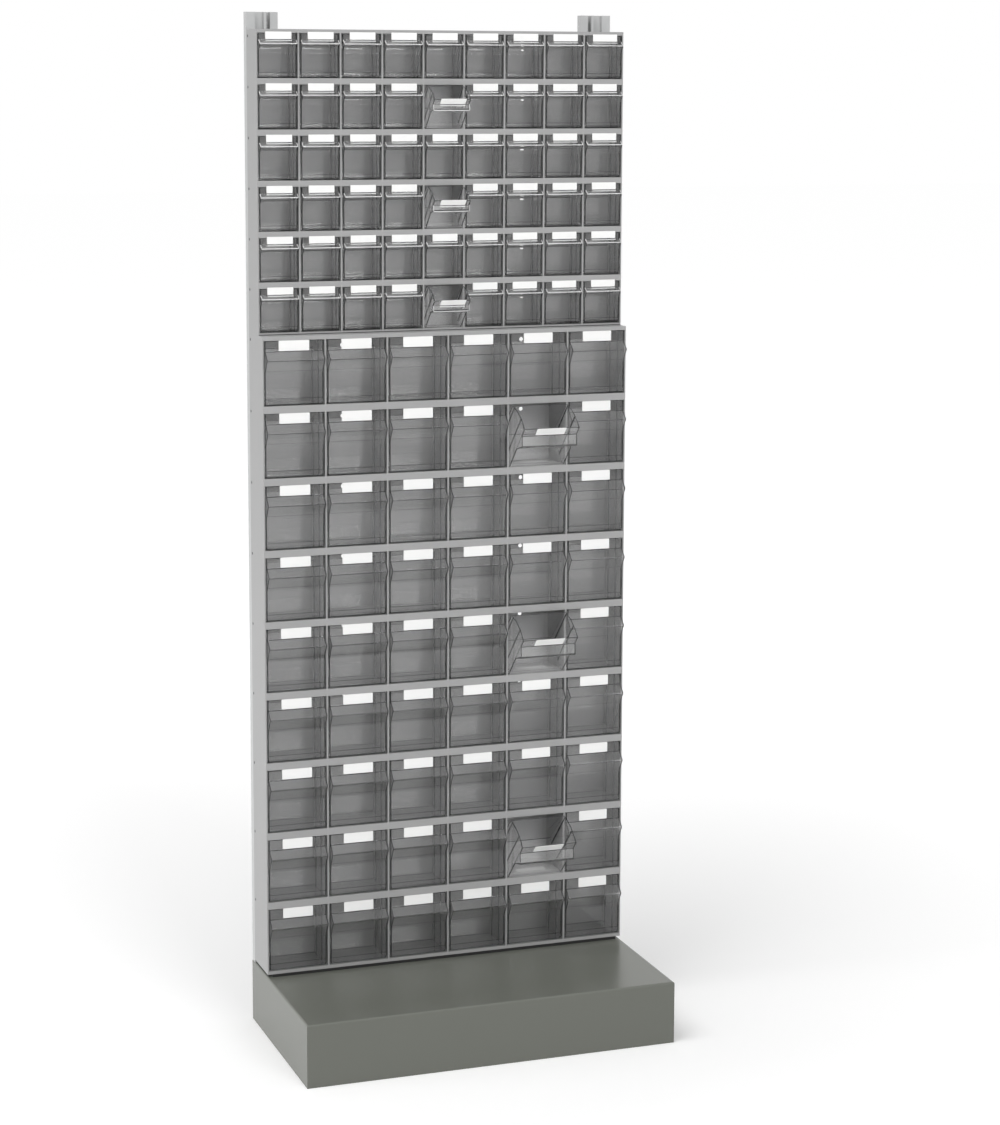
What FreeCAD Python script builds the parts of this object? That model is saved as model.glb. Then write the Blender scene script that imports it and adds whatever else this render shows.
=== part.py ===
import FreeCAD, Part
import math
import os

# Bin rack on a sheet-steel plinth: two uprights carry a stack of moulded casings,
# and every casing holds a row of clear bins that tip forward about their bottom edge.
# Millimetres, +Z up, front towards -Y, origin on the floor under the plinth's centre.

# Plinth
plinth_width = 600.0
plinth_depth = 326.0
plinth_height = 99.3
plinth_sheet = 2.0
plinth_bend = 3.0
plinth_return = 18.0

# Uprights, as extruded sections with a wide groove and a narrow slot
post_width = 50.0
post_depth = 15.3
post_rise = 26.5
post_outer_lip = 14.0
post_groove_width = 14.0
post_groove_depth = 6.5
post_rib = 4.0
post_slot_width = 6.0
post_slot_depth = 11.0
post_fit = 0.3

# Casings, common sizes
casing_width = plinth_width
casing_back = 2.0
casing_side = 2.0
divider = 2.6
lug_height = 4.7
lug_length = 12.0
lug_thickness = 4.0
lug_inset_x = 16.0
lug_inset_y = 6.0
lug_fit = 0.3
tongue_height = 32.0
tongue_fit = 0.3
wall_hole_radius = 3.5
wall_hole_spacing = 300.0
wall_hole_drop = 24.0
repeat_hole_sides = 8

# Bins, common sizes
bin_side_gap = 2.4
bin_floor_gap = 0.3
bin_swing_gap = 0.9
open_angle = 45.0
repeat_swing_chords = 3
repeat_pivot_chords = 1

medium = {
    "name": "medium",
    "rows": 9,
    "cells": 6,
    "height": 112.4,
    "depth": 80.3,
    "sill": 5.0,
    "head": 6.2,
    "bead": 6.0,
    "wall": 2.0,
    "crease_z": 54.5,
    "tip_z": 77.0,
    "lip_top_z": 89.8,
    "lip_reach": 14.5,
    "rear_floor_y": 68.0,
    "rear_top_y": 61.0,
    "single_cell": 5,
    "open_rows": (2, 5, 8),
}

small = {
    "name": "small",
    "rows": 6,
    "cells": 9,
    "height": 77.6,
    "depth": 57.6,
    "sill": 3.7,
    "head": 5.7,
    "bead": 4.5,
    "wall": 1.8,
    "crease_z": 42.0,
    "tip_z": 55.5,
    "lip_top_z": 61.5,
    "lip_reach": 9.5,
    "rear_floor_y": 48.0,
    "rear_top_y": 43.0,
    "single_cell": 5,
    "open_rows": (2, 4, 6),
}

stack_bottom = plinth_height + lug_height
rack_rear = plinth_depth / 2 - plinth_sheet
casing_rear = rack_rear - post_depth
medium_top = stack_bottom + medium["rows"] * medium["height"]
stack_top = medium_top + small["rows"] * small["height"]


def prism_along_x(points, x_start, length):
    """Extrude an outline drawn in the Y-Z plane along +X."""
    outline = Part.makePolygon([FreeCAD.Vector(x_start, y, z) for y, z in points + points[:1]])
    return Part.Face(outline).extrude(FreeCAD.Vector(length, 0, 0))


def box(x_range, y_range, z_range):
    corner = FreeCAD.Vector(x_range[0], y_range[0], z_range[0])
    return Part.makeBox(
        x_range[1] - x_range[0],
        y_range[1] - y_range[0],
        z_range[1] - z_range[0],
        corner,
    )


def hinge_point(spec):
    """Hinge axis of a row, from the casing's front plane and the row's bottom."""
    return spec["bead"], spec["sill"] + bin_floor_gap + spec["bead"]


def casing_front(spec):
    return casing_rear - spec["depth"]


def row_bottom(spec, row):
    """Bottom of a row, counted from the top of its stack."""
    base = stack_bottom if spec is medium else medium_top
    return base + (spec["rows"] - row) * spec["height"]


def round_edges(x, centre, radius, angles, chords):
    """Arc about a hinge line between two angles from +Z, or straight chords where chords is set."""

    def at(share):
        angle = math.radians(angles[0] + (angles[1] - angles[0]) * share)
        y = centre[0] + radius * math.sin(angle)
        return FreeCAD.Vector(x, y, centre[1] + radius * math.cos(angle))

    if not chords:
        return [Part.Arc(at(0), at(0.5), at(1)).toShape()]
    corners = [at(step / chords) for step in range(chords + 1)]
    return [Part.makeLine(a, b) for a, b in zip(corners, corners[1:])]


def make_bin(spec, width, swing_chords=0, pivot_chords=0):
    """Clear bin, closed: rounded pivot edge, folded finger lip, top edge swept about the hinge."""
    hinge = hinge_point(spec)
    bead = spec["bead"]
    wall = spec["wall"]
    floor_z = hinge[1] - bead
    swing = spec["height"] - spec["head"] - bin_swing_gap - hinge[1]
    left = -width / 2

    def swing_angle(y):
        return math.degrees(math.asin((y - hinge[0]) / swing))

    angles = (swing_angle(spec["rear_top_y"]), swing_angle(0))
    top_edges = round_edges(left, hinge, swing, angles, swing_chords)
    pivot_edges = round_edges(left, hinge, bead, (270.0, 180.0), pivot_chords)
    rear_top = top_edges[0].firstVertex(True).Point
    pivot_end = pivot_edges[-1].lastVertex(True).Point
    corners = [
        top_edges[-1].lastVertex(True).Point,
        FreeCAD.Vector(left, 0, spec["lip_top_z"]),
        FreeCAD.Vector(left, -spec["lip_reach"], spec["tip_z"]),
        FreeCAD.Vector(left, 0, spec["crease_z"]),
        pivot_edges[0].firstVertex(True).Point,
    ]
    rear_floor = FreeCAD.Vector(left, spec["rear_floor_y"], floor_z)
    front_edges = [Part.makeLine(a, b) for a, b in zip(corners, corners[1:])]
    rear_edges = [Part.makeLine(pivot_end, rear_floor), Part.makeLine(rear_floor, rear_top)]
    outline = Part.Wire(top_edges + front_edges + pivot_edges + rear_edges)
    body = Part.Face(outline).extrude(FreeCAD.Vector(width, 0, 0))

    lean = (spec["rear_top_y"] - spec["rear_floor_y"]) / (rear_top.z - floor_z)
    inner_floor = floor_z + wall
    above = spec["height"]
    inner_rear = spec["rear_floor_y"] - wall + lean * wall
    hollow = prism_along_x(
        [
            (wall, inner_floor),
            (inner_rear, inner_floor),
            (inner_rear + lean * (above - inner_floor), above),
            (wall, above),
        ],
        left + wall,
        width - 2 * wall,
    )
    return body.cut(hollow)


def cell_pitch(spec):
    return casing_width / spec["cells"]


def cell_centre(spec, cell):
    return -casing_width / 2 + (cell - 0.5) * cell_pitch(spec)


def wall_hole(x, z, is_round):
    """Fixing hole through a casing's back wall."""
    mouth = FreeCAD.Vector(x, casing_rear, z)
    if is_round:
        return Part.makeCylinder(wall_hole_radius, casing_back, mouth, FreeCAD.Vector(0, -1, 0))
    corners = []
    for step in range(repeat_hole_sides + 1):
        angle = 2 * math.pi * step / repeat_hole_sides
        offset = FreeCAD.Vector(math.cos(angle), 0, math.sin(angle))
        corners.append(mouth + offset * wall_hole_radius)
    return Part.Face(Part.makePolygon(corners)).extrude(FreeCAD.Vector(0, -casing_back, 0))


def make_lug(spec, side, inset_y, z, gap):
    """Stacking lug under a casing's corner, or the socket for one where gap is set."""
    x = side * (casing_width / 2 - lug_inset_x)
    y = casing_front(spec) + inset_y
    half_length = lug_length / 2 + gap
    half_thickness = lug_thickness / 2 + gap
    return box(
        (x - half_length, x + half_length),
        (y - half_thickness, y + half_thickness),
        (z, z + lug_height),
    )


def make_casing(spec, row):
    """Moulded casing: one row of open cells, wall-fixing holes and tongues for the uprights."""
    front = casing_front(spec)
    bottom = row_bottom(spec, row)
    top = bottom + spec["height"]
    half = casing_width / 2
    body = box((-half, half), (front, casing_rear), (bottom, top))
    cuts = []
    for cell in range(1, spec["cells"] + 1):
        left = cell_centre(spec, cell) - cell_pitch(spec) / 2
        right = left + cell_pitch(spec)
        left += casing_side if cell == 1 else divider / 2
        right -= casing_side if cell == spec["cells"] else divider / 2
        cuts.append(
            box(
                (left, right),
                (front, casing_rear - casing_back),
                (bottom + spec["sill"], top - spec["head"]),
            )
        )
    tongues = []
    slot_middle = half - post_outer_lip - post_groove_width - post_rib - post_slot_width / 2
    half_tongue = post_slot_width / 2 - tongue_fit
    middle_z = (bottom + top) / 2
    for side in (-1, 1):
        hole_x = side * wall_hole_spacing / 2
        cuts.append(wall_hole(hole_x, top - wall_hole_drop, row == 1))
        if spec is medium and row == 1:
            cuts.append(make_lug(spec, side, lug_inset_y, top - lug_height, lug_fit))
        if spec is medium and row == spec["rows"]:
            for inset_y in (lug_inset_y, spec["depth"] - lug_inset_y):
                tongues.append(make_lug(spec, side, inset_y, bottom - lug_height, 0))
        tongues.append(
            box(
                (side * slot_middle - half_tongue, side * slot_middle + half_tongue),
                (casing_rear, casing_rear + post_slot_depth - tongue_fit),
                (middle_z - tongue_height / 2, middle_z + tongue_height / 2),
            )
        )
    return body.fuse(tongues).cut(Part.makeCompound(cuts)).removeSplitter()


def make_plinth():
    """Folded sheet box, open below inside a return flange, with sockets for both uprights."""
    half_x = plinth_width / 2
    half_y = plinth_depth / 2
    body = box((-half_x, half_x), (-half_y, half_y), (0, plinth_height))
    bends = [
        edge
        for edge in body.Edges
        if edge.BoundBox.ZMin > plinth_height / 2
    ]
    body = body.makeFillet(plinth_bend, bends)
    inner = box(
        (-half_x + plinth_sheet, half_x - plinth_sheet),
        (-half_y + plinth_sheet, half_y - plinth_sheet),
        (plinth_sheet, plinth_height - plinth_sheet),
    )
    opening = box(
        (-half_x + plinth_return, half_x - plinth_return),
        (-half_y + plinth_return, half_y - plinth_return),
        (0, plinth_sheet),
    )
    cuts = [inner, opening]
    for side in (-1, 1):
        edges = (side * (half_x - post_width - post_fit), side * (half_x - plinth_sheet))
        cuts.append(
            box(
                (min(edges), max(edges)),
                (casing_rear - post_fit, rack_rear),
                (plinth_height - plinth_sheet, plinth_height),
            )
        )
    return body.cut(Part.makeCompound(cuts))


def make_post(side):
    """Upright section, drawn from its inner edge outwards and mirrored for the other side.

    Its foot is narrowed to pass inside the plinth's side sheet, down to the return flange.
    """
    inner = casing_width / 2 - post_width
    groove_end = post_width - post_outer_lip
    groove_start = groove_end - post_groove_width
    slot_end = groove_start - post_rib
    slot_start = slot_end - post_slot_width
    section = [
        (0, 0),
        (slot_start, 0),
        (slot_start, post_slot_depth),
        (slot_end, post_slot_depth),
        (slot_end, 0),
        (groove_start, 0),
        (groove_start, post_groove_depth),
        (groove_end, post_groove_depth),
        (groove_end, 0),
        (post_width, 0),
        (post_width, post_depth),
        (0, post_depth),
    ]
    corners = [
        FreeCAD.Vector(side * (inner + x), casing_rear + y, plinth_sheet) for x, y in section
    ]
    outline = Part.makePolygon(corners + corners[:1])
    length = stack_top + post_rise - plinth_sheet
    post = Part.Face(outline).extrude(FreeCAD.Vector(0, 0, length))
    edges = (side * (casing_width / 2 - plinth_sheet - post_fit), side * casing_width / 2)
    foot_cut = box(
        (min(edges), max(edges)),
        (casing_rear, rack_rear),
        (plinth_sheet, plinth_height),
    )
    return post.cut(foot_cut)


def export(node, shape):
    shape.exportStep("parts/" + node + ".step")


os.makedirs("parts", exist_ok=True)
export("plinth", make_plinth())
export("post_left", make_post(-1))
export("post_right", make_post(1))

for spec in (medium, small):
    bin_width = cell_pitch(spec) - divider - 2 * bin_side_gap
    closed_bin = make_bin(spec, bin_width)
    row_bin = make_bin(spec, bin_width, repeat_swing_chords, repeat_pivot_chords)
    hinge_y, hinge_z = hinge_point(spec)
    opened_bin = closed_bin.copy()
    opened_bin.rotate(
        FreeCAD.Vector(0, hinge_y, hinge_z), FreeCAD.Vector(1, 0, 0), open_angle
    )
    for row in range(1, spec["rows"] + 1):
        export("%s_casing_%d" % (spec["name"], row), make_casing(spec, row))
        others = []
        for cell in range(1, spec["cells"] + 1):
            is_single = cell == spec["single_cell"]
            if not is_single:
                tray = row_bin.copy()
            elif row in spec["open_rows"]:
                tray = opened_bin.copy()
            else:
                tray = closed_bin.copy()
            tray.translate(
                FreeCAD.Vector(
                    cell_centre(spec, cell), casing_front(spec), row_bottom(spec, row)
                )
            )
            if is_single:
                export("%s_bin_%d" % (spec["name"], row), tray)
            else:
                others.append(tray)
        export("%s_row_bins_%d" % (spec["name"], row), Part.makeCompound(others))
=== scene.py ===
import math

import bmesh
import bpy
from mathutils import Matrix, Vector


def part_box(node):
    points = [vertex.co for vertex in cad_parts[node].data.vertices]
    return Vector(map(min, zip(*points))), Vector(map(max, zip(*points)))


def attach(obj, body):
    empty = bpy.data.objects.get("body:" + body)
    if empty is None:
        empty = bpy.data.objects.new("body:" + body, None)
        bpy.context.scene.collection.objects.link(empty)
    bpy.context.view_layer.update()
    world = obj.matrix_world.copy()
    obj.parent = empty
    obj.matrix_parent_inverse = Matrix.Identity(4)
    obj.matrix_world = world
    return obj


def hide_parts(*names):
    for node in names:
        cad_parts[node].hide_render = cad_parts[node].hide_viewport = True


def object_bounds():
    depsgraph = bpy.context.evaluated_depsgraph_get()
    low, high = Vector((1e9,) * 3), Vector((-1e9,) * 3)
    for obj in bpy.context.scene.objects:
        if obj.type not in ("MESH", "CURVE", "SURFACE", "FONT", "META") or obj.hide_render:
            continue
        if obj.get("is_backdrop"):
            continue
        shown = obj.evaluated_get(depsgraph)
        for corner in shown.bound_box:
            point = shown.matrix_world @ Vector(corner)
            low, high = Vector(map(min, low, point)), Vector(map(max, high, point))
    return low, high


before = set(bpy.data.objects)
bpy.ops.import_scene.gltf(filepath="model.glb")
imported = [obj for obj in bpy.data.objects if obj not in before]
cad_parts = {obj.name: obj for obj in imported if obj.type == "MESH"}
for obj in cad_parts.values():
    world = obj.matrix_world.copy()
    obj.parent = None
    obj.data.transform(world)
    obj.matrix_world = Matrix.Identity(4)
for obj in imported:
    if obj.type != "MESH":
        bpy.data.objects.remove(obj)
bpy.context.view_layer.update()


# Plinth: one box folded from 2 mm sheet steel, bent to a small radius along its top edges and
# sprayed olive grey with a satin gloss. It stands on the floor and everything else stands on it.
MM = 0.001
sharp_angle = math.radians(50)
noise_low, noise_high = 0.2, 0.8
grain_depth = 0.2 * MM
plinth_edge = 0.4 * MM
surface_grain = bpy.data.node_groups.new("surface_grain", "ShaderNodeTree")
for label, kind, start in (
    ("Color", "NodeSocketColor", (0.5, 0.5, 0.5, 1.0)),
    ("Shift", "NodeSocketFloat", 0.05),
    ("Patch Scale", "NodeSocketFloat", 10.0),
    ("Grain Scale", "NodeSocketFloat", 1000.0),
    ("Stretch", "NodeSocketVector", (1.0, 1.0, 1.0)),
):
    socket = surface_grain.interface.new_socket(name=label, in_out="INPUT", socket_type=kind)
    socket.default_value = start
for label, kind in (
    ("Color", "NodeSocketColor"),
    ("Patch", "NodeSocketFloat"),
    ("Grain", "NodeSocketFloat"),
):
    surface_grain.interface.new_socket(name=label, in_out="OUTPUT", socket_type=kind)
nodes = surface_grain.nodes
links = surface_grain.links
given = nodes.new("NodeGroupInput")
result = nodes.new("NodeGroupOutput")
place = nodes.new("ShaderNodeTexCoord")
stretched = nodes.new("ShaderNodeVectorMath")
stretched.operation = "MULTIPLY"
patches = nodes.new("ShaderNodeTexNoise")
patches.inputs["Detail"].default_value = 3.0
grains = nodes.new("ShaderNodeTexNoise")
grains.inputs["Detail"].default_value = 2.0
lightest = nodes.new("ShaderNodeMath")
lightest.inputs[0].default_value = 1.0
darkest = nodes.new("ShaderNodeMath")
darkest.operation = "SUBTRACT"
darkest.inputs[0].default_value = 1.0
shade = nodes.new("ShaderNodeMapRange")
shade.inputs["From Min"].default_value = noise_low
shade.inputs["From Max"].default_value = noise_high
tinted = nodes.new("ShaderNodeHueSaturation")
links.new(place.outputs["Object"], stretched.inputs[0])
links.new(given.outputs["Stretch"], stretched.inputs[1])
links.new(stretched.outputs["Vector"], patches.inputs["Vector"])
links.new(stretched.outputs["Vector"], grains.inputs["Vector"])
links.new(given.outputs["Patch Scale"], patches.inputs["Scale"])
links.new(given.outputs["Grain Scale"], grains.inputs["Scale"])
links.new(given.outputs["Shift"], lightest.inputs[1])
links.new(given.outputs["Shift"], darkest.inputs[1])
links.new(patches.outputs["Fac"], shade.inputs["Value"])
links.new(darkest.outputs["Value"], shade.inputs["To Min"])
links.new(lightest.outputs["Value"], shade.inputs["To Max"])
links.new(given.outputs["Color"], tinted.inputs["Color"])
links.new(shade.outputs["Result"], tinted.inputs["Value"])
links.new(tinted.outputs["Color"], result.inputs["Color"])
links.new(patches.outputs["Fac"], result.inputs["Patch"])
links.new(grains.outputs["Fac"], result.inputs["Grain"])


def srgb(red, green, blue):
    """A colour given on a 0 to 255 scale, as the linear colour a shader takes."""
    linear = []
    for channel in (red / 255.0, green / 255.0, blue / 255.0):
        curved = ((channel + 0.055) / 1.055) ** 2.4
        linear.append(channel / 12.92 if channel <= 0.04045 else curved)
    return (*linear, 1.0)


def grained_material(
    name, colour, shift, patch_scale, grain_scale, rough, relief, stretch=(1.0, 1.0, 1.0)
):
    """Material with the shared grain in its colour, in its gloss and as fine relief.

    rough gives the smoothest and the roughest patch; stretch draws the grain out along an axis.
    """
    material = bpy.data.materials.new(name)
    material.use_nodes = True
    tree = material.node_tree
    shader = tree.nodes["Principled BSDF"]
    grain = tree.nodes.new("ShaderNodeGroup")
    grain.node_tree = surface_grain
    grain.inputs["Color"].default_value = colour
    grain.inputs["Shift"].default_value = shift
    grain.inputs["Patch Scale"].default_value = patch_scale
    grain.inputs["Grain Scale"].default_value = grain_scale
    grain.inputs["Stretch"].default_value = stretch
    gloss = tree.nodes.new("ShaderNodeMapRange")
    gloss.inputs["From Min"].default_value = noise_low
    gloss.inputs["From Max"].default_value = noise_high
    gloss.inputs["To Min"].default_value = rough[0]
    gloss.inputs["To Max"].default_value = rough[1]
    bump = tree.nodes.new("ShaderNodeBump")
    bump.inputs["Strength"].default_value = relief
    bump.inputs["Distance"].default_value = grain_depth
    tree.links.new(grain.outputs["Color"], shader.inputs["Base Color"])
    tree.links.new(grain.outputs["Patch"], gloss.inputs["Value"])
    tree.links.new(gloss.outputs["Result"], shader.inputs["Roughness"])
    tree.links.new(grain.outputs["Grain"], bump.inputs["Height"])
    tree.links.new(bump.outputs["Normal"], shader.inputs["Normal"])
    return material


def dress(node, material, edge):
    """Give a CAD node its finish and break its sharp edges by a small radius."""
    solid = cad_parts[node]
    solid.data.materials.clear()
    solid.data.materials.append(material)
    softened = solid.modifiers.new("softened_edges", "BEVEL")
    softened.width = edge
    softened.segments = 2
    softened.limit_method = "ANGLE"
    softened.angle_limit = sharp_angle
    softened.harden_normals = True


plinth_paint = grained_material(
    "plinth_paint",
    srgb(104, 106, 99),
    shift=0.003,
    patch_scale=5.0,
    grain_scale=700.0,
    rough=(0.262, 0.272),
    relief=0.04,
)
dress("plinth", plinth_paint, plinth_edge)


# Uprights: two extruded metal sections with a wide groove and a narrow slot in their front face,
# light grey, with the faint lengthwise lines of drawing. They drop through the plinth's top sheet.
upright_edge = 0.5 * MM
upright_metal = grained_material(
    "upright_metal",
    srgb(189, 190, 190),
    shift=0.05,
    patch_scale=60.0,
    grain_scale=900.0,
    rough=(0.34, 0.5),
    relief=0.12,
    stretch=(1.0, 1.0, 0.01),
)
for node in ("post_left", "post_right"):
    dress(node, upright_metal, upright_edge)


# Casings: injection-moulded light grey plastic, one piece for each row of cells, stacked on each
# other and keyed to the uprights. Their slightly rounded edges draw a seam at each joint.
casing_edge = 0.8 * MM
casing_plastic = grained_material(
    "casing_plastic",
    srgb(162, 162, 162),
    shift=0.03,
    patch_scale=9.0,
    grain_scale=1400.0,
    rough=(0.42, 0.52),
    relief=0.15,
)
casing_names = ["medium_casing_%d" % row for row in range(1, 10)]
casing_names += ["small_casing_%d" % row for row in range(1, 7)]
for node in casing_names:
    dress(node, casing_plastic, casing_edge)


# Stack joints: near-black strips painted in as shadow: a painted shadow line where the upper
# stack stands on the lower one, and a painted shadow strip that fills the gap between the lower
# stack and the plinth.
joint_height = 1.1 * MM
joint_proud = 0.15 * MM
strip_depth = 5.0 * MM
strip_end = 8.0 * MM
lower_row_height = 112.4
# Near-black colour of the painted gap shadows.
painted_gap_shadow = grained_material(
    "painted_gap_shadow",
    srgb(34, 34, 34),
    shift=0.1,
    patch_scale=60.0,
    grain_scale=900.0,
    rough=(0.6, 0.8),
    relief=0.05,
)


def finished_piece(name, mesh, materials, body):
    """Turn a bmesh into an object of the scene that moves with a body."""
    data = bpy.data.meshes.new(name)
    mesh.to_mesh(data)
    mesh.free()
    for material in materials:
        data.materials.append(material)
    piece = bpy.data.objects.new(name, data)
    bpy.context.scene.collection.objects.link(piece)
    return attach(piece, body)


def add_bar(mesh, low, high, placing):
    """A straight bar from corner to corner, as a small closed form; returns its faces."""
    made = bmesh.ops.create_cube(mesh, size=1.0)["verts"]
    for vert in made:
        share = vert.co + Vector((0.5, 0.5, 0.5))
        vert.co = placing @ Vector([a + (b - a) * s for a, b, s in zip(low, high, share)])
    return {face for vert in made for face in vert.link_faces}


upper_low, upper_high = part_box("small_casing_6")
lower_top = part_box("medium_casing_1")[1].z
lowest_low, lowest_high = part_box("medium_casing_9")
lowest_underside = lowest_high.z - lower_row_height * MM
gap_shades = bmesh.new()
add_bar(
    gap_shades,
    (upper_low.x + joint_height, upper_low.y - joint_proud, lower_top),
    (upper_high.x - joint_height, upper_low.y + joint_height, lower_top + joint_height),
    Matrix.Identity(4),
)
add_bar(
    gap_shades,
    (lowest_low.x + strip_end, lowest_low.y - joint_proud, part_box("plinth")[1].z),
    (lowest_high.x - strip_end, lowest_low.y + strip_depth, lowest_underside - joint_proud),
    Matrix.Identity(4),
)
finished_piece("stack_gap_shades", gap_shades, [painted_gap_shadow], "frame")


# Casing studs: the dark domed heads near the rear edge of both casing sides, one to each casing,
# pressed into the moulding. The profile gives shares of the radius and of the height.
stud_radius = 2.2 * MM
stud_height = 0.5 * MM
stud_from_rear = 8.0 * MM
stud_from_top = 10.2 * MM
stud_sides = 16
stud_profile = ((1.0, -0.6), (1.0, 0.35), (0.85, 0.8), (0.55, 1.0))
stud_plastic = grained_material(
    "stud_plastic",
    srgb(70, 71, 71),
    shift=0.05,
    patch_scale=80.0,
    grain_scale=1500.0,
    rough=(0.35, 0.5),
    relief=0.1,
)
studs = bmesh.new()
stud_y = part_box("post_left")[0].y - stud_from_rear
for node in casing_names:
    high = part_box(node)[1]
    stud_z = high.z - stud_from_top
    for side in (-1, 1):
        rings = []
        for share, rise in stud_profile:
            x = side * (high.x + stud_height * rise)
            ring = []
            for step in range(stud_sides):
                angle = 2 * math.pi * step / stud_sides
                y = stud_y + stud_radius * share * math.cos(angle)
                z = stud_z + stud_radius * share * math.sin(angle)
                ring.append(studs.verts.new((x, y, z)))
            rings.append(ring)
        for ring, next_ring in zip(rings, rings[1:]):
            for step in range(stud_sides):
                after = (step + 1) % stud_sides
                studs.faces.new((ring[step], ring[after], next_ring[after], next_ring[step]))
        studs.faces.new(rings[0])
        studs.faces.new(rings[-1])
bmesh.ops.recalc_face_normals(studs, faces=studs.faces)
finished_piece("casing_studs", studs, [stud_plastic], "frame")


# Bins: injection-moulded clear plastic, thin-walled, with a hollow folded finger lip, a rounded
# bottom front edge that they tip about, and a rim that is swept about the same hinge line.
# Millimetres, from the casing's front plane (y) and from the row's bottom (z).
# Bin material slots: 1 paints shade and 2 paints highlights, as opaque lines on edges, folds and
# the tip; 3 is a darker clear plastic for fainter painted shade lines; 4 is a less clear plastic
# whose lighter faces paint the lip's reflection.
dark, light, faint, lip_sheen = 1, 2, 3, 4
bin_sizes = {
    "medium": {
        "rows": 9,
        "cells": 6,
        "height": lower_row_height,
        "sill": 5.0,
        "head": 6.2,
        "bead": 6.0,
        "wall": 1.3,
        "crease_z": 54.5,
        "tip_z": 77.0,
        "lip_top_z": 89.8,
        "lip_reach": 14.5,
        "rear_floor_y": 68.0,
        "rear_top_y": 61.0,
        "tip_solid": 2.0,
        "tip_round": 2.2,
        "lip_sag": 0.4,
        "ribs": (22.0, 54.0),
        "open_rows": (2, 5, 8),
        "card": (48.5, 90.0, 106.0),
        "card_place": (0.0, -0.05),
        # painted shadow under the label card, as a dark bar
        "painted_label_line": dark,
        "painted_label_line_place": ((-0.65, 89.1), (0.25, 89.8)),
    },
    "small": {
        "rows": 6,
        "cells": 9,
        "height": 77.6,
        "sill": 3.7,
        "head": 5.7,
        "bead": 4.5,
        "wall": 1.2,
        "crease_z": 42.0,
        "tip_z": 55.5,
        "lip_top_z": 61.5,
        "lip_reach": 9.5,
        "rear_floor_y": 48.0,
        "rear_top_y": 43.0,
        "tip_solid": 3.5,
        "tip_round": 2.4,
        "lip_sag": 1.0,
        "ribs": (14.0, 36.0),
        "open_rows": (2, 4, 6),
        "card": (41.0, 62.4, 73.6),
        "card_place": (1.6, -0.8),
        # painted reflection of the label card, as a light bar under it
        "painted_label_line": light,
        "painted_label_line_place": ((-3.0, 59.3), (-1.5, 60.9)),
    },
}
rack_width = 600.0
divider = 2.6
side_gap = 2.4
floor_gap = 0.3
swing_gap = 0.9
open_angle = math.radians(45.0)
single_cell = 5
swing_steps = 8
ease_steps = 4
upper_lip_shares = (0.06, 0.92)
lower_lip_shares = (0.05, 0.2, 0.4, 0.6, 0.8, 0.825)
# A faint painted shade line across the bin's flat front above the hinge, this high.
shade_line = 0.8
shade_line_rise = 0.8  # a share of the bead, above the hinge
sunk = 0.1  # how far an added form reaches into the wall that carries it
rib_width = 1.6
rib_depth = 1.0
rib_below_rim = 0.5
band_y = (0.4, 9.0)
band_above_hinge = 5.0
band_below_rim = 1.0
band_proud = 0.6
end_bar_width = 0.9
end_bar_proud = 0.05
end_bar_rise = 0.35
end_bar_ends = (2.0, 0.8)
peg_length = 2.3
peg_radii = (0.55, 0.5)  # shares of the bead, at the peg's two ends
peg_sides = 16
# Width of the painted shade lines bevelled along the bins' sharp edges.
edge_line = 0.15 * MM


def inset(points, distance):
    """An open outline moved to its left by a wall's thickness, with mitred corners."""
    normals = []
    for a, b in zip(points, points[1:]):
        along = (b - a).normalized()
        normals.append(Vector((-along.y, along.x)))
    moved = [points[0] + normals[0] * distance]
    for corner, before, after in zip(points[1:], normals, normals[1:]):
        moved.append(corner + (before + after) * distance / (1.0 + before.dot(after)))
    moved.append(points[-1] + normals[-1] * distance)
    return moved


def hollowed(start, end, sag):
    """Points of a shallow inward curve between two points of an outline, deepest half-way."""
    along = end - start
    inwards = Vector((-along.y, along.x)).normalized()
    bulge = inwards * 4 * sag
    return [start + along * share + bulge * share * (1 - share) for share in lower_lip_shares]


def eased(points, radii):
    """An open outline with each inner corner rounded to its radius."""
    line = [points[0]]
    for before, corner, after, radius in zip(points, points[1:], points[2:], radii):
        to_before = (before - corner).normalized()
        to_after = (after - corner).normalized()
        half = to_before.angle(to_after) / 2
        centre = corner + (to_before + to_after).normalized() * radius / math.sin(half)
        start = corner + to_before * radius / math.tan(half) - centre
        end = corner + to_after * radius / math.tan(half) - centre
        for step in range(ease_steps + 1):
            line.append(centre + start.lerp(end, step / ease_steps).normalized() * radius)
    line.append(points[-1])
    return line


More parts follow.
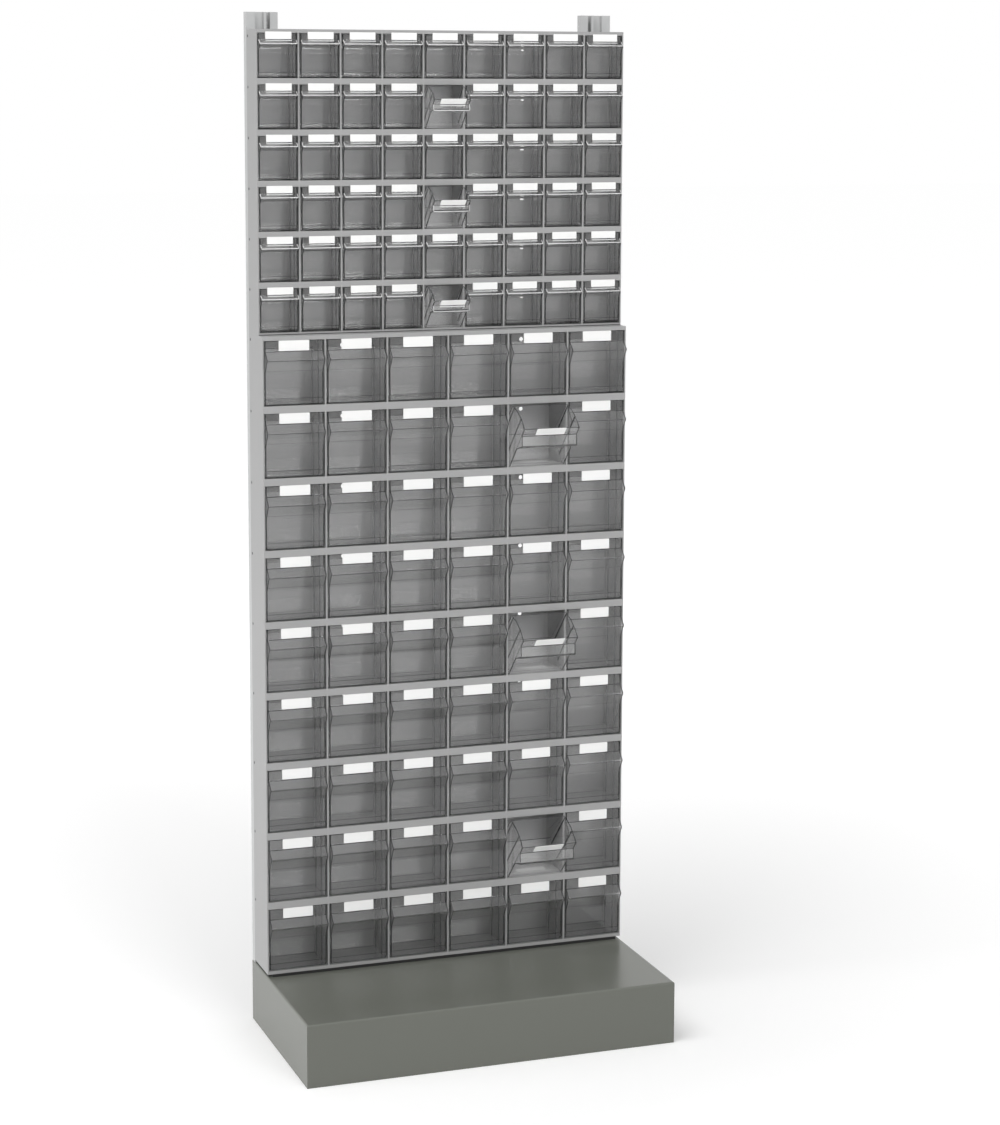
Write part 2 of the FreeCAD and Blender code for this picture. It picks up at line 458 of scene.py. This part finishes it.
def bin_outlines(size):
    """Outer and inner outline of a bin from its front rim round to its rear rim, both rim arcs,
    the hinge, and for each strip of the outer outline that isn't plain clear plastic its painted
    shade, painted highlight or painted lip reflection."""
    wall = size["wall"]
    bead = size["bead"]
    floor_z = size["sill"] + floor_gap
    hinge = Vector((bead, floor_z + bead))
    swing = size["height"] - size["head"] - swing_gap - hinge.y

    def on_swing(y):
        return Vector((y, hinge.y + math.sqrt(swing * swing - (y - hinge.x) ** 2)))

    corners = [
        on_swing(0.0),
        Vector((0.0, size["lip_top_z"])),
        Vector((-size["lip_reach"], size["tip_z"])),
        Vector((0.0, size["crease_z"])),
        Vector((0.0, floor_z)),
        Vector((size["rear_floor_y"], floor_z)),
        on_swing(size["rear_top_y"]),
    ]
    inner_corners = inset(corners, wall)
    inner_corners[0] = on_swing(wall)
    inner_corners[2].x += size["tip_solid"]
    inner_corners[-1] = on_swing(size["rear_top_y"] - wall)
    outer_radii = (1.0, size["tip_round"], 3.0, bead, 3.0)
    inner_radii = (3.0, 0.5, 5.0, 0.5 * bead, 1.2)
    outer = eased(corners, outer_radii)
    inner = eased(inner_corners, inner_radii)

    arc = ease_steps + 1
    line_z = hinge.y + shade_line_rise * bead
    line_points = [Vector((0.0, line_z + shade_line)), Vector((0.0, line_z))]
    lower_lip = hollowed(outer[2 * arc], outer[2 * arc + 1], size["lip_sag"])
    upper_lip = [outer[arc].lerp(outer[arc + 1], share) for share in upper_lip_shares]
    outer[3 * arc + 1 : 3 * arc + 1] = line_points
    outer[2 * arc + 1 : 2 * arc + 1] = lower_lip
    outer[arc + 1 : arc + 1] = upper_lip
    tip = arc + len(upper_lip) + 1
    crease = tip + arc + len(lower_lip)
    line = crease + arc
    pivot_edge = line + len(line_points)
    rear_edge = pivot_edge + arc
    # Painted strips: dark ones paint shade lines at the lip's top fold, near the tip and at the
    # rear edge, light ones paint highlights at the small bins' tip, faint ones fainter shade lines
    # above the hinge, at the bead and near the crease, and the lip's faces a lighter painted
    # reflection.
    strip_paints = {arc: dark, line: faint, rear_edge + 1: dark}
    if size["painted_label_line"] == light:
        strip_paints.update({tip + 1: light, tip + ease_steps: dark})
        strip_paints.update({pivot_edge: faint, pivot_edge + 1: faint})
    else:
        lip_sheen_strips = (arc + 1, arc + 2, *range(tip + ease_steps, crease))
        strip_paints.update(dict.fromkeys(lip_sheen_strips, lip_sheen))
        strip_paints.update({tip + ease_steps - 1: dark, crease - 2: faint})

    arcs = []
    for first, last in ((corners[0], corners[-1]), (inner_corners[0], inner_corners[-1])):
        run = last.x - first.x
        steps = [first.x + run * step / swing_steps for step in range(swing_steps + 1)]
        arcs.append([on_swing(y) for y in steps])
    return outer, inner, arcs, hinge, strip_paints


def add_shell(mesh, half, wall, outer, inner, arcs, strip_paints, placing):
    """The walls, floor and folded lip of one bin, with a painted shade line along its cut rim
    edge.
    """
    rims = {}
    shell = []
    for reach, outline, arc, is_inner in (
        (half, outer, arcs[0], False),
        (half - wall, inner, arcs[1], True),
    ):
        walls = {}
        for side in (-1, 1):
            x = side * reach
            line = [mesh.verts.new(placing @ Vector((x, p.x, p.y))) for p in outline]
            top = [mesh.verts.new(placing @ Vector((x, p.x, p.y))) for p in arc[1:-1]]
            rims[side, is_inner] = [line[0]] + top + [line[-1]]
            shell.append(mesh.faces.new(line + top[::-1]))
            walls[side] = line
        left, right = walls[-1], walls[1]
        for step in range(len(outline) - 1):
            strip = (left[step], right[step], right[step + 1], left[step + 1])
            shell.append(mesh.faces.new(strip))
            if not is_inner:
                shell[-1].material_index = strip_paints.get(step, 0)
    for side in (-1, 1):
        for step in range(swing_steps):
            far = rims[side, False][step : step + 2]
            near = rims[side, True][step : step + 2]
            shell.append(mesh.faces.new((far[0], far[1], near[1], near[0])))
            shell[-1].material_index = dark
    for end in (0, -1):
        far = (rims[-1, False][end], rims[1, False][end])
        near = (rims[1, True][end], rims[-1, True][end])
        shell.append(mesh.faces.new(far + near))
        shell[-1].material_index = dark
    bmesh.ops.recalc_face_normals(mesh, faces=shell)
    edge_weight = mesh.edges.layers.float["bevel_weight_edge"]
    for edge in {edge for face in shell for edge in face.edges}:
        edge[edge_weight] = float(edge.calc_face_angle(0.0) > sharp_angle)


def add_lip_ends(mesh, size, half, placing):
    """Light bars on the cut ends of the lip's upper face, one at each side: painted highlights."""
    drop = size["lip_top_z"] - size["tip_z"]
    run = math.hypot(drop, size["lip_reach"])
    slope = Matrix.Rotation(math.atan2(drop, size["lip_reach"]), 4, "X")
    slant = placing @ Matrix.Translation((0.0, 0.0, size["lip_top_z"])) @ slope
    from_tip, from_root = end_bar_ends
    for side in (-1, 1):
        across = sorted((side * (half - end_bar_width), side * (half + end_bar_proud)))
        low = (across[0], from_tip - run, -sunk)
        high = (across[1], -from_root, end_bar_rise)
        for face in add_bar(mesh, low, high, slant):
            face.material_index = light


def add_side_details(mesh, size, half, hinge, rim, placing):
    """Stiffening ribs inside both walls in the painted shade colour, a raised band outside them
    and the pegs at the hinge.
    """
    wall = size["wall"]
    bead = size["bead"]
    for side in (-1, 1):
        rib_x = sorted((side * (half - wall + sunk), side * (half - wall - rib_depth)))
        band_x = sorted((side * (half - sunk), side * (half + band_proud)))
        for rib_y in size["ribs"]:
            rib_end = rib_y + rib_width
            rise = math.sqrt((rim - hinge).length_squared - (rib_end - hinge.x) ** 2)
            low = (rib_x[0], rib_y, hinge.y - bead + wall)
            high = (rib_x[1], rib_end, hinge.y + rise - rib_below_rim)
            for face in add_bar(mesh, low, high, placing):
                face.material_index = dark
        low = (band_x[0], band_y[0], hinge.y + band_above_hinge)
        high = (band_x[1], band_y[1], rim.y - band_below_rim)
        add_bar(mesh, low, high, placing)
        peg = bmesh.ops.create_cone(
            mesh,
            cap_ends=True,
            segments=peg_sides,
            radius1=peg_radii[0] * bead,
            radius2=peg_radii[1] * bead,
            depth=peg_length,
        )["verts"]
        turn = Matrix.Rotation(side * math.pi / 2, 4, "Y")
        seat = Matrix.Translation((side * (half + peg_length / 2 - sunk), hinge.x, hinge.y))
        bmesh.ops.transform(mesh, matrix=placing @ seat @ turn, verts=peg)


def add_bin(mesh, size, placing):
    """One bin, drawn closed from its casing's front plane and its row's bottom, then placed."""
    half = rack_width / size["cells"] / 2 - divider / 2 - side_gap
    outer, inner, arcs, hinge, strip_paints = bin_outlines(size)
    add_shell(mesh, half, size["wall"], outer, inner, arcs, strip_paints, placing)
    card_width = size["card"][0]
    card_shift = size["card_place"][0]
    # A bar under the label card: painted shadow under the card on medium bins, the card's painted
    # reflection on small ones.
    (front, bottom), (back, top) = size["painted_label_line_place"]
    painted_label_line_low = (card_shift - card_width / 2, front, bottom)
    painted_label_line_high = (card_shift + card_width / 2, back, top)
    for face in add_bar(mesh, painted_label_line_low, painted_label_line_high, placing):
        face.material_index = size["painted_label_line"]
    if size["painted_label_line"] == light:
        add_lip_ends(mesh, size, half, placing)
    add_side_details(mesh, size, half, hinge, arcs[0][0], placing)


def bin_placing(name, size, row, cell, turned):
    """Where a bin of a row sits, in metres; an open one is turned forward about its hinge."""
    low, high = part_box("%s_casing_%d" % (name, row))
    pitch = rack_width / size["cells"]
    x = -rack_width / 2 + (cell - 0.5) * pitch
    bottom = high.z / MM - size["height"]
    place = Matrix.Scale(MM, 4) @ Matrix.Translation((x, low.y / MM, bottom))
    hinge = (0.0, size["bead"], size["sill"] + floor_gap + size["bead"])
    if turned:
        spin = Matrix.Rotation(open_angle, 4, "X")
        place = place @ Matrix.Translation(hinge) @ spin @ Matrix.Translation([-c for c in hinge])
    return place


def bin_nodes():
    """Each bin node, with its size, whether its bin is open at rest and where its bins sit."""
    for name, size in bin_sizes.items():
        others = [cell for cell in range(1, size["cells"] + 1) if cell != single_cell]
        for row in range(1, size["rows"] + 1):
            turned = row in size["open_rows"]
            place = bin_placing(name, size, row, single_cell, turned)
            yield "%s_bin_%d" % (name, row), size, turned, [place]
            places = [bin_placing(name, size, row, cell, False) for cell in others]
            yield "%s_row_bins_%d" % (name, row), size, False, places


def clear_material(name, level, shift, rough, passing):
    """Clear moulded plastic of a grey level that lets a share of the light through."""
    material = grained_material(
        name,
        srgb(level, level, level),
        shift=shift,
        patch_scale=14.0,
        grain_scale=300.0,
        rough=rough,
        relief=0.02,
        stretch=(1.0, 1.0, 0.3),
    )
    shader = material.node_tree.nodes["Principled BSDF"]
    shader.inputs["Transmission Weight"].default_value = passing
    shader.inputs["IOR"].default_value = 1.42
    return material


def edge_material(name, colour, shift):
    """Opaque colour on a cut or thick edge of the clear plastic: painted shade or a painted
    highlight where the eye sees a solid line.
    """
    return grained_material(
        name,
        colour,
        shift=shift,
        patch_scale=60.0,
        grain_scale=900.0,
        rough=(0.2, 0.35),
        relief=0.05,
    )


# Clear plastic, then painted shade, painted highlight, a darker clear plastic for fainter painted
# shade lines, and a less clear plastic that paints the lip's lighter reflection.
bin_strip_paints = [
    clear_material("clear_plastic", 253, 0.01, (0.02, 0.06), 0.98),
    edge_material("painted_edge_shade", srgb(52, 53, 54), 0.08),
    edge_material("painted_highlight", srgb(226, 226, 226), 0.03),
    clear_material("painted_line_shade", 160, 0.02, (0.03, 0.08), 0.96),
    clear_material("sheen_lip_plastic", 253, 0.01, (0.04, 0.1), 0.95),
]
for node, size, turned, places in bin_nodes():
    bins = bmesh.new()
    bins.edges.layers.float.new("bevel_weight_edge")
    for placing in places:
        add_bin(bins, size, placing)
    bmesh.ops.recalc_face_normals(bins, faces=bins.faces)
    piece = finished_piece("clear_" + node, bins, bin_strip_paints, node)
    # A thin bevel along every sharp edge, in the dark slot: painted shade lines on the bins'
    # edges.
    edges = piece.modifiers.new("edge_lines", "BEVEL")
    edges.width = edge_line
    edges.segments = 1
    edges.limit_method = "WEIGHT"
    edges.use_clamp_overlap = False
    edges.material = dark
    # The clear walls of an open bin let the lamps reach into its cell.
    piece.visible_shadow = not turned
    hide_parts(node)


# Label cards: plain white card strips on the flat band above every finger lip, one to each bin,
# thin, with slightly rounded corners. They tip with their bin.
card_thickness = 0.4
card_corner = 0.8
corner_steps = 3
card_stock = grained_material(
    "card_stock",
    srgb(250, 250, 249),
    shift=0.01,
    patch_scale=40.0,
    grain_scale=2500.0,
    rough=(0.7, 0.85),
    relief=0.1,
)


def add_card(mesh, size, placing):
    """One card: a rounded strip with a face, a back and cut edges."""
    width, low, high = size["card"]
    shift, face_y = size["card_place"]
    corners = []
    for sx, sz, start in ((1, 1, 0), (-1, 1, 90), (-1, -1, 180), (1, -1, 270)):
        for step in range(corner_steps + 1):
            angle = math.radians(start + 90 * step / corner_steps)
            x = shift + sx * (width / 2 - card_corner) + card_corner * math.cos(angle)
            z = (high if sz > 0 else low) - sz * card_corner + card_corner * math.sin(angle)
            corners.append((x, z))
    faces = []
    for y in (face_y - card_thickness, face_y):
        faces.append([mesh.verts.new(placing @ Vector((x, y, z))) for x, z in corners])
    mesh.faces.new(faces[0])
    mesh.faces.new(faces[1])
    for step in range(len(corners)):
        after = (step + 1) % len(corners)
        mesh.faces.new((faces[0][step], faces[0][after], faces[1][after], faces[1][step]))


for node, size, _, places in bin_nodes():
    cards = bmesh.new()
    for placing in places:
        add_card(cards, size, placing)
    bmesh.ops.recalc_face_normals(cards, faces=cards.faces)
    finished_piece("cards_" + node, cards, [card_stock], node)


# Studio: a white floor, white surroundings, three soft lamps and the camera at eye height, a
# little to the rack's left. The floor brightens away from the rack until it meets the background.
floor_half = 30.0


def seen_rays(tree):
    """1 for the rays that show a surface: straight, in a gloss or through clear plastic."""
    rays = tree.nodes.new("ShaderNodeLightPath")
    mirrored = tree.nodes.new("ShaderNodeMath")
    mirrored.operation = "MAXIMUM"
    seen = tree.nodes.new("ShaderNodeMath")
    seen.operation = "MAXIMUM"
    tree.links.new(rays.outputs["Is Glossy Ray"], mirrored.inputs[0])
    tree.links.new(rays.outputs["Is Transmission Ray"], mirrored.inputs[1])
    tree.links.new(rays.outputs["Is Camera Ray"], seen.inputs[0])
    tree.links.new(mirrored.outputs["Value"], seen.inputs[1])
    return seen.outputs["Value"]


floor_mesh = bmesh.new()
bmesh.ops.create_grid(floor_mesh, x_segments=1, y_segments=1, size=floor_half)
floor_data = bpy.data.meshes.new("floor")
floor_mesh.to_mesh(floor_data)
floor_mesh.free()
floor_white = bpy.data.materials.new("floor_white")
floor_white.use_nodes = True
floor_nodes = floor_white.node_tree.nodes
floor_links = floor_white.node_tree.links
floor_shader = floor_nodes["Principled BSDF"]
floor_shader.inputs["Base Color"].default_value = (0.86, 0.86, 0.86, 1.0)
floor_shader.inputs["Roughness"].default_value = 0.9
floor_shader.inputs["Specular IOR Level"].default_value = 0.0
floor_shader.inputs["Emission Color"].default_value = (1.0, 1.0, 1.0, 1.0)
floor_place = floor_nodes.new("ShaderNodeTexCoord")
floor_reach = floor_nodes.new("ShaderNodeVectorMath")
floor_reach.operation = "LENGTH"
floor_fade = floor_nodes.new("ShaderNodeMapRange")
floor_fade.inputs["From Min"].default_value = 0.4
floor_fade.inputs["From Max"].default_value = 3.0
floor_fade.inputs["To Min"].default_value = 0.2
floor_fade.inputs["To Max"].default_value = 0.65
floor_lift = floor_nodes.new("ShaderNodeMath")
floor_lift.operation = "MULTIPLY"
floor_links.new(floor_place.outputs["Object"], floor_reach.inputs[0])
floor_links.new(floor_reach.outputs["Value"], floor_fade.inputs["Value"])
floor_links.new(seen_rays(floor_white.node_tree), floor_lift.inputs[0])
floor_links.new(floor_fade.outputs["Result"], floor_lift.inputs[1])
floor_links.new(floor_lift.outputs["Value"], floor_shader.inputs["Emission Strength"])
floor_data.materials.append(floor_white)
floor = bpy.data.objects.new("floor", floor_data)
bpy.context.scene.collection.objects.link(floor)
floor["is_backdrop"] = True

world = bpy.data.worlds.new("studio")
bpy.context.scene.world = world
world.use_nodes = True
sky_links = world.node_tree.links
sky = world.node_tree.nodes["Background"]
sky.inputs["Color"].default_value = (1.0, 1.0, 1.0, 1.0)
sky_level = world.node_tree.nodes.new("ShaderNodeMapRange")
sky_level.inputs["To Min"].default_value = 0.4
sky_level.inputs["To Max"].default_value = 1.0
sky_links.new(seen_rays(world.node_tree), sky_level.inputs["Value"])
sky_links.new(sky_level.outputs["Result"], sky.inputs["Strength"])

for name, spot, aim, width, power in (
    ("lamp_left", (-2.0, 0.2, 0.2), (0.0, 0.1, 0.2), 0.4, 9.5),
    ("lamp_front", (0.8, -5.2, 3.0), (0.0, 0.0, 1.0), 2.6, 122.0),
    ("lamp_overhead", (-2.2, -1.2, 5.0), (-0.3, -0.8, 0.0), 3.0, 135.0),
):
    lamp_data = bpy.data.lights.new(name, "AREA")
    lamp_data.shape = "SQUARE"
    lamp_data.size = width
    lamp_data.energy = power
    lamp = bpy.data.objects.new(name, lamp_data)
    lamp.location = spot
    lamp.visible_glossy = False
    lamp.visible_transmission = name == "lamp_front"
    lamp.rotation_euler = (Vector(aim) - Vector(spot)).to_track_quat("-Z", "Y").to_euler()
    bpy.context.scene.collection.objects.link(lamp)

camera_place = (-1.33931, -3.91143, 1.51525)
yaw, pitch, roll = 0.34515, 0.14073, -0.00367
camera_data = bpy.data.cameras.new("camera")
camera_data.sensor_width = 36.0
camera_data.lens = 86.118
camera_data.shift_x = -0.00215
camera_data.shift_y = -0.09564
camera_data.clip_end = 100.0
camera = bpy.data.objects.new("camera", camera_data)
right = Vector((math.cos(yaw), -math.sin(yaw), 0.0))
ahead = Vector(
    (math.sin(yaw) * math.cos(pitch), math.cos(yaw) * math.cos(pitch), -math.sin(pitch))
)
down = ahead.cross(right)
level_right = right * math.cos(roll) + down * math.sin(roll)
level_down = down * math.cos(roll) - right * math.sin(roll)
facing = Matrix((level_right, -level_down, -ahead)).transposed()
camera.matrix_world = Matrix.Translation(camera_place) @ facing.to_4x4()
bpy.context.scene.collection.objects.link(camera)
bpy.context.scene.camera = camera
bpy.context.scene.view_settings.view_transform = "Standard"

low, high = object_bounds()
